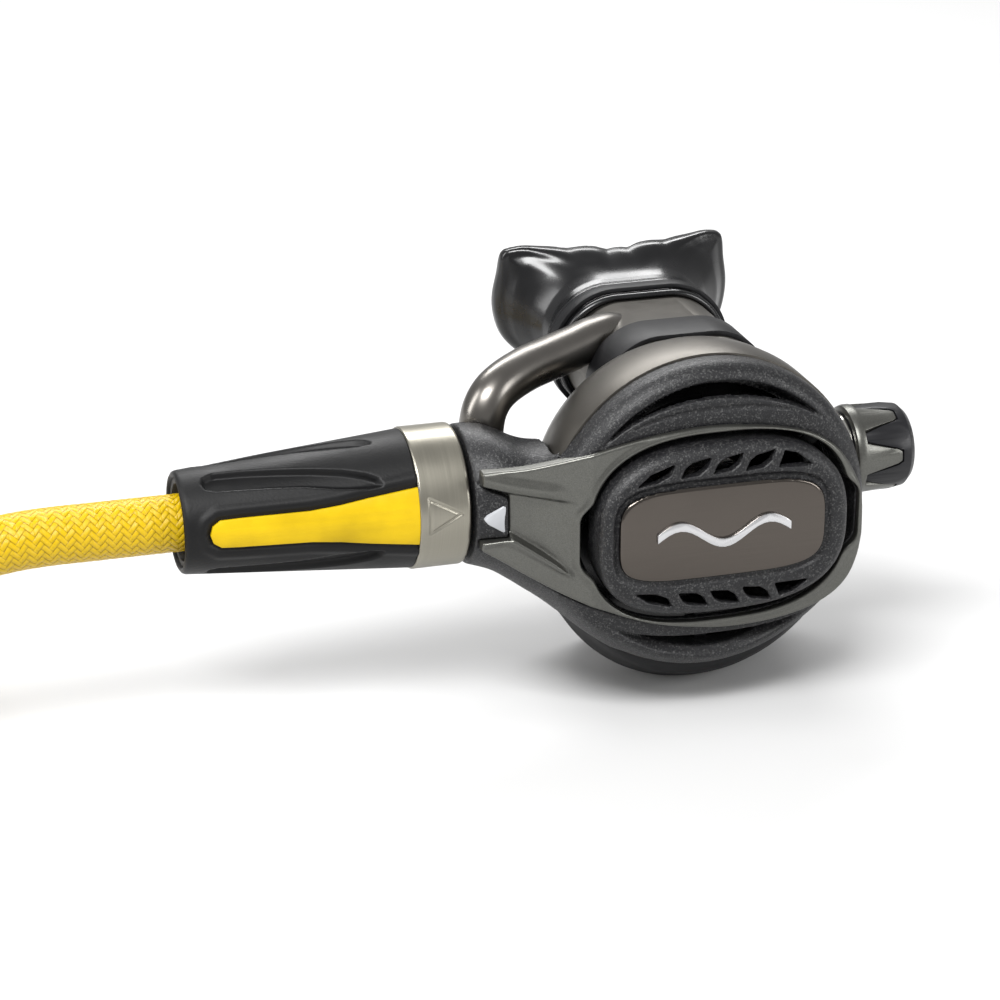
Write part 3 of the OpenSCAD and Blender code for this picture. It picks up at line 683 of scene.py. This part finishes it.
def trim_field(x, y, z):
    top, foot = np.interp(x, *VALLEY_TOP), np.interp(x, *VALLEY_FOOT)
    valley = 2.3 * step_up((top - z) / 1.3) * step_up((z - foot) / 1.3) * (1 - step_up((x + 45) / 12))
    width = np.interp(x, (-57, -53, -48, -40, -34.5), (1.7, 2.0, 2.0, 1.5, 0.15))
    blade = 1.0 * step_up(1 - np.abs(z - foot + 0.6) / width) * step_up((-34.5 - x) / 5)
    upper = 0.7 * step_up(1 - np.abs(z - top - 1.6) / 2.8) * step_up((-35 - x) / 8)
    inner = opening(x, z)
    lip = 0.55 * step_up(1.5 - inner / 1.5)
    face = trim_back(x) - TRIM_T + 0.4 + valley - blade - upper - lip
    f = round_and(np.maximum(outline(x, z, TRIM) + 0.05, 0.1 - inner), face - y, 0.6)
    return np.maximum(f, y - trim_seat(x) + 0.02)


SLOT = [(0, 0), (1.2, 2.2), (2.8, 3.3), (7.6, 4.2), (6.4, 1.9), (4.4, 0.5)]
SLOTS = [[(-11 + 8.2 * k + a, 10.6 - (0.3 if k == 0 else 0) + b) for a, b in SLOT] for k in range(3)]
SLOTS += [[(-22, 9.2), (-18.6, 11.8), (-12.6, 13.7), (-13.8, 11.4), (-17, 9.8)],
          [(13.8, 10.6), (15.4, 14.2), (18.6, 13.4), (22.2, 10.4)]]


def crown(y, z):
    """Depth below the pillow surface of the button, positive outside."""
    return np.hypot(y - 68, z - BUTTON_Z) - 101.4


def button_field(x, y, z):
    f = round_and(oval(x - BUTTON_X, z - BUTTON_Z, 31.6, 22, 2.7), crown(y, z), 2.8)
    plate = oval(x - PLATE_X, z - PLATE_Z, 26.8, 12.6, 4.2)
    f = cut(f, np.maximum(plate - 1.5, -crown(y, z) - 0.05 - 1.15 * step_up((1.5 - plate) / 1.6)), 0.3)
    for pts in SLOTS:
        for side in (1, -1):
            up = z if side > 0 else 2 * BUTTON_Z - z
            f = cut(f, np.maximum(outline(x, up, pts) - 0.1, -crown(y, z) - 2.8), 0.6)
    f = np.maximum(f, y + 22.4)
    boss = from_centre(x, z)
    inner = oval(x - BUTTON_X, z - BUTTON_Z, 29.6, 20, 2.7)
    f = np.maximum(f, -np.maximum(np.maximum(inner, -29.6 - y), BOSS_R - boss))
    f = np.minimum(f, np.maximum(boss - BOSS_R, slab(y, -29.8, -16.9)))
    return np.maximum(f, -np.maximum(boss - 3, -29 - y))


def plate_field(x, y, z):
    edge = oval(x - PLATE_X, z - PLATE_Z, 26.2, 12.0, 4.2)
    return np.maximum(round_and(edge, crown(y, z) - 0.05, 0.8), y + 32.15)


def tee_field(x, y, z):
    k = np.clip((-1 - y) / 14.5, 0, 1)  # the skirt draws in toward the front
    disc = np.maximum(oval(x - 5 + 4 * k, z + 14 - k, 41.5 - 6 * k, 43 - 7 * k, 2), z + 24.6)
    skirt = round_and(disc, slab(y, -15.5, 31), 3.0)
    block = round_and(box2(x - TUBE_X, z + 18, TUBE_W + 10, 58, 12), slab(y, 20, 34), 3)
    f = np.maximum(blend_or(skirt, block, 5), -AXIS_H - z)
    f = cut(f, bowl(x, y, z, 0.1), 0.6)
    tube = stadium(x - TUBE_X, z - TUBE_Z, TUBE_W + 0.6, TUBE_H + 0.6)
    f = cut(f, np.maximum(tube, -y), 0.6)
    f = cut(f, np.maximum(np.hypot(x, z + 12.5) - 13, slab(y, 17, 29)), 0.4)
    f = np.maximum(f, -np.maximum(box2(x, z + 25, 26, 26), slab(y, 18.3, 28.8)))
    return cut(f, box2(z + 36, y - 18.5, 20, 19, 5) + 0 * x, 1.2)


# mouthpiece: half outline of the bite flange (x from its middle, z), its top wavy
FLANGE = [(0, 35.4), (3.5, 35.0), (6.5, 36.6), (10, 36.9), (13.5, 36.3), (18, 37.5), (24, 38.9), (27.5, 38.7),
          (30, 37.8), (31, 35.6), (31.4, 31), (32.2, 25), (31.8, 20), (30.2, 15), (27, 11.5), (22, 8.6),
          (15, 7.4), (8, 7.6), (0, 7.8)]
# its neck at each depth: width, height and height of the middle
NECK_Y = (38, 40, 41.5, 42.2, 42.8, 46.2, 46.8, 48.4, 49.2, 50.6, 53, 56, 60, 64, 70)
NECK_W = (45.4, 45.8, 46, 45.9, 45.4, 45.4, 46.2, 47.4, 47.0, 45.0, 43.6, 44.4, 48, 53, 55)
NECK_H = (31, 31.6, 32, 31.9, 31.5, 31.5, 32.2, 33.4, 33.0, 31.2, 29.6, 28.2, 27, 26.6, 27)
NECK_C = (16.5, 16.5, 16.5, 16.5, 16.5, 16.5, 16.5, 16.5, 16.6, 17.0, 18.2, 19.6, 21.2, 22.2, 23)
FLANGE_X, FLANGE_Y, FLANGE_BEND = 4.8, 62.0, 90.0


def mouthpiece_field(x, y, z):
    xm = x - TUBE_X
    w, h, c = (np.interp(y, NECK_Y, v) for v in (NECK_W, NECK_H, NECK_C))
    xf = x - FLANGE_X
    bite_y = FLANGE_Y + xf ** 2 / (2 * FLANGE_BEND)
    neck = round_and(stadium(xm, z - c, w, h), 40 - y, 1.0)
    neck = np.maximum(neck, y - bite_y - 1)
    half = np.array(FLANGE)
    edge = spline(np.vstack([half, (half * [-1, 1])[-2:0:-1]]), 120, closed=True)
    rim = outline(xf, z, edge)
    thick = 1.2 + 0.5 * step_up(1 + rim / 2.2)
    roll = 1.6 * step_up(1 + rim / 5)  # the rim turns back a little
    sheet = np.abs(y - bite_y - 0.4 - roll) / np.hypot(1, xf / FLANGE_BEND) - thick
    flange = round_and(sheet, rim, 1.2)
    f = blend_or(neck, flange, 8.0)
    for s in (-1, 1):
        u, v = xm - 18.5 * s, y - 77
        a = math.radians(-16 * s)
        u, v = u * math.cos(a) + v * math.sin(a), -u * math.sin(a) + v * math.cos(a)
        tab = round_and(box2(u, v, 10, 19, 3), np.abs(z - 21) - 2.4 - 0.5 * np.cos(v), 1.2)
        f = blend_or(f, tab, 3.0)
    inner = np.maximum(stadium(xm, z - TUBE_Z, TUBE_W + 0.1, TUBE_H + 0.1), slab(y, 30, 52))
    iw, ih, ic = (np.interp(y, (51, 62, 70), v) for v in ((40, 32, 32), (27, 19, 19), (16.5, 21, 21)))
    inner = np.minimum(inner, np.maximum(stadium(xm, z - ic, iw, ih), 51 - y))
    return cut(f, inner, 0.6)


def make_moulded():
    mould("cover_shell", "front_cover", cover_field, (-59, -27, -46), (41, 3, 37), 0.45, "cover_polymer")
    mould("arm_shell", "inlet_arm", arm_field, (-59, 1, -24), (-18, 18, 19), 0.5, "cover_polymer")
    mould("trim", "trim_frame", trim_field, (-58, -30, -33), (39, -16.5, 22), 0.36, "trim_metal")
    mould("button", "purge_button", button_field, (-32, -34, -27), (33, -16.5, 18), 0.4, "cover_polymer",
          "purge")
    mould("plate", "purge_plate", plate_field, (-28, -34, -17), (27, -31.5, 9), 0.4, "plate_metal", "purge")
    mould("tee", "exhaust_tee", tee_field, (-42, -17, -57), (46, 35, 12), 0.6, "tee_plastic")
    mould("mouthpiece_skin", "mouthpiece", mouthpiece_field, (-31, 39, 2), (39, 90, 42), 0.5, "silicone")


make_moulded()


# ---------------------------------------- bypass tube, grip and ring
def make_bypass():
    into_neck = [(-8.6, 30.2, 25.9), (-4.2, 32.6, 23.6), (-0.5, 34.5, 20)]
    path = spline(BYPASS[:-1] + into_neck, 110)
    radius = BYPASS_R - 3.0 * step_up((path[:, 0] + 7) / 7)
    verts, faces = loft(tube_rings(path, radius, 48), cap=(True, True))
    build("bypass", rel(verts), faces, MAT["tube_metal"], ("bypass_tube",))


SELECTOR_SET = math.radians(4.5)
GRIP_X0, GRIP_X1, GRIP_R0, GRIP_R1, LINER_OUT = -127.0, -71.2, 12.4, 17.0, 10.85
INLAY = [(-121, 0), (-120.4, 2), (-118.5, 3.3), (-114, 3.5), (-97, 3.8), (-90, 4.5), (-83, 5.6), (-68, 7.7)]
# finger pocket next to the inlay: (x, degrees from the inlay); two more follow on each side
POCKET = [(-121.2, 59), (-120.6, 66), (-118.5, 70.5), (-112, 67), (-104, 61), (-95, 54), (-88, 47.5),
          (-82.6, 40.5), (-80.6, 36), (-79.8, 30.6), (-83, 29.8), (-90, 33.2), (-98, 39.5), (-106, 43.5),
          (-113, 46), (-118.5, 48), (-120.6, 52)]
POCKET_STEP = 46.0


def turned(x, r, angle):
    """Points on rings about the valve axis; angle from the front, upwards positive."""
    x, r, angle = np.broadcast_arrays(x, r, angle)
    return np.stack([x, -r * np.cos(angle), r * np.sin(angle)], axis=-1)


def make_grip():
    around = 300
    a = np.arange(around) * TAU / around
    xs = np.arange(GRIP_X0, GRIP_X1 + 0.01, 0.45)
    cone = np.interp(xs, (GRIP_X0, GRIP_X1), (GRIP_R0, GRIP_R1))
    x, phi = np.meshgrid(xs, np.where(a > math.pi, a - TAU, a), indexing="ij")
    r = np.repeat(cone[:, None], around, axis=1)
    inlay = INLAY + [(along, -half) for along, half in INLAY[:0:-1]]
    d = np.where(np.abs(phi) < 1.2, outline(x, r * np.sin(phi), inlay), 20.0)
    depth = 0.95 * step_up(0.5 - d / 0.5) * (d < 0.5) + 0.55 * step_up(1 - np.abs(d - 0.4) / 0.9)
    depth -= 0.35 * step_up(1 - np.abs(d - 2.2) / 1.6)
    scale = cone.mean() * math.pi / 180
    for side in (1, -1):
        for k in range(3):
            deg = np.degrees(phi) * side - POCKET_STEP * k
            pocket = outline(x, deg * scale, [(along, turn * scale) for along, turn in POCKET])
            depth += 1.5 * step_up(0.55 - pocket / 1.1)
    r = r - depth
    r -= 0.9 * (1 - np.sqrt(1 - np.clip(1 - (x - GRIP_X0) / 1.4, 0, 1) ** 2))
    angle = a[None, :] + SELECTOR_SET
    rings = list(turned(xs[:, None], r, angle))
    rings += [turned(v, LINER_OUT, angle[0]) for v in (GRIP_X1, -90, -110, GRIP_X0 + 0.4)]
    verts, faces = loft(rings, wrap=True)
    build("grip", rel(verts), faces, MAT["grip_rubber"], ("selector_grip",), "selector")


RING_R, RING_X0, RING_X1 = 17.4, -71.2, -58.5
BORE_R, HOLE_R, STEP_X = 13.95, 9.3, -69.95  # wide bore to a step, then the narrow hole
MARK = [(-60.6, 4.5), (-69, 20.6), (-69, -11.8)]  # plain triangle cut in the ring: x, degrees above the front


def make_ring():
    around = 440
    a = np.arange(around) * TAU / around
    first, last = RING_X0 + np.array([0, 0.06, 0.2, 0.4]), RING_X1 - 1 + np.array([0, 0.4, 0.7, 0.9, 1.0])
    xs = np.concatenate([first, np.arange(RING_X0 + 0.6, RING_X1 - 1.0, 0.24), last])
    start = np.clip(1 - (xs - RING_X0) / 0.5, 0, 1)
    end = np.clip(1 - (RING_X1 - xs) / 1.0, 0, 1)
    r = RING_R - 0.45 * (1 - np.sqrt(1 - start ** 2)) - 0.9 * (1 - np.sqrt(1 - end ** 2))
    scale = RING_R * math.pi / 180
    x, deg = np.meshgrid(xs, np.degrees(np.where(a > math.pi, a - TAU, a)), indexing="ij")
    near = outline(x, deg * scale, [(along, turn * scale) for along, turn in MARK])
    groove = 0.32 * step_up(1.25 - np.abs(near + 0.35) / 0.42)
    rings = list(turned(x, r[:, None] - groove, a[None, :]))
    inside = ((RING_X1, BORE_R), (STEP_X, BORE_R), (STEP_X, HOLE_R), (RING_X0, HOLE_R))
    rings += [turned(v, q, a) for v, q in inside]
    verts, faces = loft(rings, wrap=True)
    build("ring", rel(verts), faces, MAT["ring_metal"], ("selector_ring",), "selector")


make_bypass()
make_grip()
make_ring()


# ---------------------------------------- the two springs
def make_spring(name, node, axis, ends, radius, wire, drop):
    """A wound spring along X or Y, between two heights in mm."""
    turn = np.linspace(0, SPRING_TURNS * TAU, 40 * SPRING_TURNS)
    along = np.linspace(ends[0], ends[1], len(turn))
    across = radius * np.cos(turn)
    x, y = (along, across) if axis == (1, 0, 0) else (across, along)
    path = np.stack([x, y, radius * np.sin(turn) - drop], axis=1)
    verts, faces = loft(tube_rings(path, wire, 12), cap=(True, True))
    spring = build(name, rel(verts), faces, MAT["steel"], (node,))
    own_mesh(spring)


SPRING_TURNS = 4
ALONG_X, ALONG_Y = (1, 0, 0), (0, 1, 0)
make_spring("button_spring", "purge_spring", ALONG_Y, (-18.35, -29.05), 7.2, 0.5, DROP)
make_spring("valve_spring", "poppet_spring", ALONG_X, (18.6, 26.3), 4.2, 0.55, 0.0)


# ---------------------------------------- CAD nodes kept, with edges eased
def ease(node, mat, width):
    """The node's material, with its edges rounded over width in mm."""
    obj = NODES[node]
    for s in range(max(1, len(obj.material_slots))):
        if len(obj.material_slots) <= s:
            obj.data.materials.append(MAT[mat])
        obj.material_slots[s].material = MAT[mat]
    weld = obj.modifiers.new("weld", "WELD")
    weld.merge_threshold = 1e-6
    if width:
        flat = obj.modifiers.new("flat", "DECIMATE")
        flat.decimate_type = "DISSOLVE"
        flat.angle_limit = math.radians(1.0)
        bev = obj.modifiers.new("bevel", "BEVEL")
        bev.width = width * MM
        bev.segments = 2
        bev.limit_method = "ANGLE"
        bev.angle_limit = math.radians(32)
        bev.harden_normals = False
        bev.use_clamp_overlap = True
    for p in obj.data.polygons:
        p.use_smooth = True
    smooth = obj.modifiers.new("by_angle", "EDGE_SPLIT")
    smooth.split_angle = math.radians(40)


KEPT = {
    "housing": ("bowl_metal", 0.3), "valve_barrel": ("plated_steel", 0.2),
    "pointer_mark": ("pointer_plastic", 0.2), "label_band": ("tee_plastic", 0.3),
    "mouthpiece_clamp": ("tee_plastic", 0.3), "exhaust_valve": ("silicone", 0.2),
    "cover_ring": ("tee_plastic", 0.15), "diaphragm": ("silicone", 0), "diaphragm_disc": ("steel", 0.15),
    "demand_lever": ("steel", 0.15), "lever_pin": ("steel", 0.1), "poppet": ("poppet_plastic", 0.15),
    "poppet_seat": ("seal_rubber", 0.15), "orifice": ("plated_steel", 0.1),
    "balance_piston": ("plated_steel", 0.1), "balance_oring": ("seal_rubber", 0.3),
    "knob_oring": ("seal_rubber", 0.3), "knob_nut": ("plated_steel", 0.15),
    "knob_collar": ("trim_metal", 0.25), "knob_grip": ("knob_plastic", 0.3),
    "knob_screw": ("plated_steel", 0.12), "purge_badge": ("badge_metal", 0.2),
    "inlet_tube": ("plated_steel", 0.2), "journal": ("tee_plastic", 0.2),
    "selector_liner": ("liner_rubber", 0.25), "selector_inlay": ("yellow_plastic", 0.25),
    "hose_nut": ("plated_steel", 0.2), "hose_ferrule": ("plated_steel", 0.2),
    "end_ferrule": ("plated_steel", 0.3), "end_fitting": ("plated_steel", 0.25),
    "end_oring": ("seal_rubber", 0.3),
}
for node, (mat, width) in KEPT.items():
    ease(node, mat, width)


# ---------------------------------------- floor and light
def make_stage():
    mesh = bpy.data.meshes.new("floor")
    half = 3.0
    corners = [(-half, -half, 0), (half, -half, 0), (half, half, 0), (-half, half, 0)]
    mesh.from_pydata(corners, [], [(0, 1, 2, 3)])
    floor = bpy.data.objects.new("floor", mesh)
    bpy.context.scene.collection.objects.link(floor)
    m = Nodes("floor")
    mesh.materials.append(m.set(Base_Color=(0.58, 0.58, 0.58), Roughness=0.9, Specular_IOR_Level=0.1))
    world = bpy.data.worlds.new("studio")
    bpy.context.scene.world = world
    world.use_nodes = True
    sky = world.node_tree.nodes["Background"]
    sky.inputs["Color"].default_value = (1, 1, 1, 1)
    sky.inputs["Strength"].default_value = 0.45


def area_light(name, where, at, size, power):
    data = bpy.data.lights.new(name, "AREA")
    data.shape = "RECTANGLE"
    data.size, data.size_y = size
    data.energy = power
    light = bpy.data.objects.new(name, data)
    bpy.context.scene.collection.objects.link(light)
    light.location = where
    light.rotation_euler = (Vector(at) - Vector(where)).to_track_quat("-Z", "Y").to_euler()


make_stage()
area_light("key", (-0.45, -0.55, 1.0), (0, 0, 0.05), (0.6, 0.35), 17)
area_light("fill", (0.8, -0.7, 0.45), (0, 0, 0.05), (0.3, 0.6), 5)
area_light("side", (-0.9, 0.1, 0.5), (-0.05, 0, 0.06), (0.25, 0.7), 5)
area_light("back", (0.1, 0.9, 0.9), (0, 0, 0.06), (1.0, 0.3), 12)
bpy.context.scene.view_settings.view_transform = "Standard"
